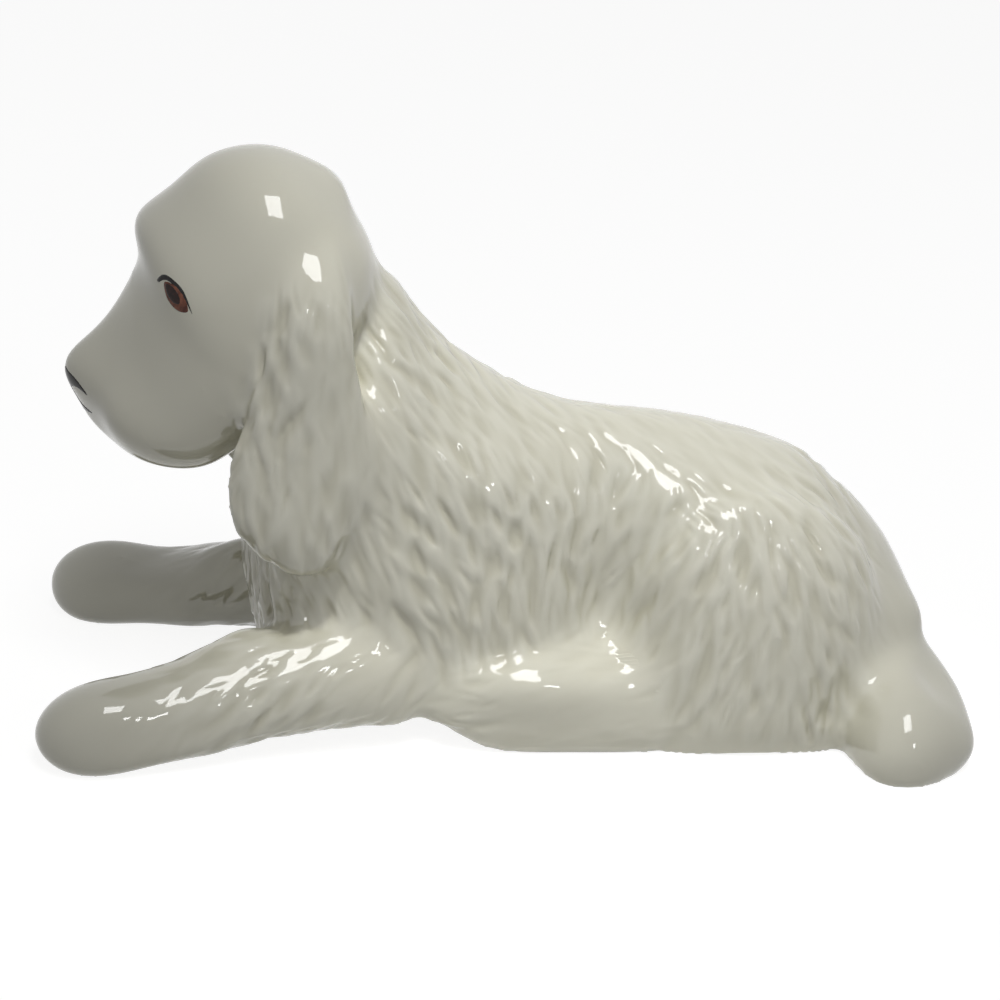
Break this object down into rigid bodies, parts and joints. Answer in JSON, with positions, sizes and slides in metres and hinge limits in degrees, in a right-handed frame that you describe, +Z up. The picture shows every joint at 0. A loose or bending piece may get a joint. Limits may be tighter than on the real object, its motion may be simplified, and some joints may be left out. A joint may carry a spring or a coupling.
{
  "type": "pottery dog figure",
  "caption": "Lying spaniel puppy figure in white glazed earthenware, forelegs stretched forward, long hanging ears, tail curled round the left hip; a free-standing ornament.",
  "frame": {"origin": "point of the flat base under the belly, on the dog's midline and about half way along the figure, at floor level", "axes": "+X from the nose to the tail, so the dog faces -X; +Y to the dog's right; +Z up"},
  "size_m": [0.3124, 0.1475, 0.1889],
  "materials": {
    "glaze": "clear gloss glaze over white earthenware",
    "iris_enamel": "red-brown overglaze enamel",
    "pupil_enamel": "dark brown overglaze enamel",
    "black_enamel": "black overglaze enamel"
  },
  "bodies": {
    "root": {"body_casting": "glaze", "head_casting": "glaze", "left_ear": "glaze", "right_ear": "glaze", "left_foreleg": "glaze", "right_foreleg": "glaze", "left_hind_foot": "glaze", "right_hind_foot": "glaze", "tail": "glaze", "left_iris": "iris_enamel", "right_iris": "iris_enamel", "left_pupil": "pupil_enamel", "right_pupil": "pupil_enamel", "left_lid_line": "black_enamel", "right_lid_line": "black_enamel", "left_nostril": "black_enamel", "right_nostril": "black_enamel", "nose_line": "black_enamel"}
  },
  "joints": []
}
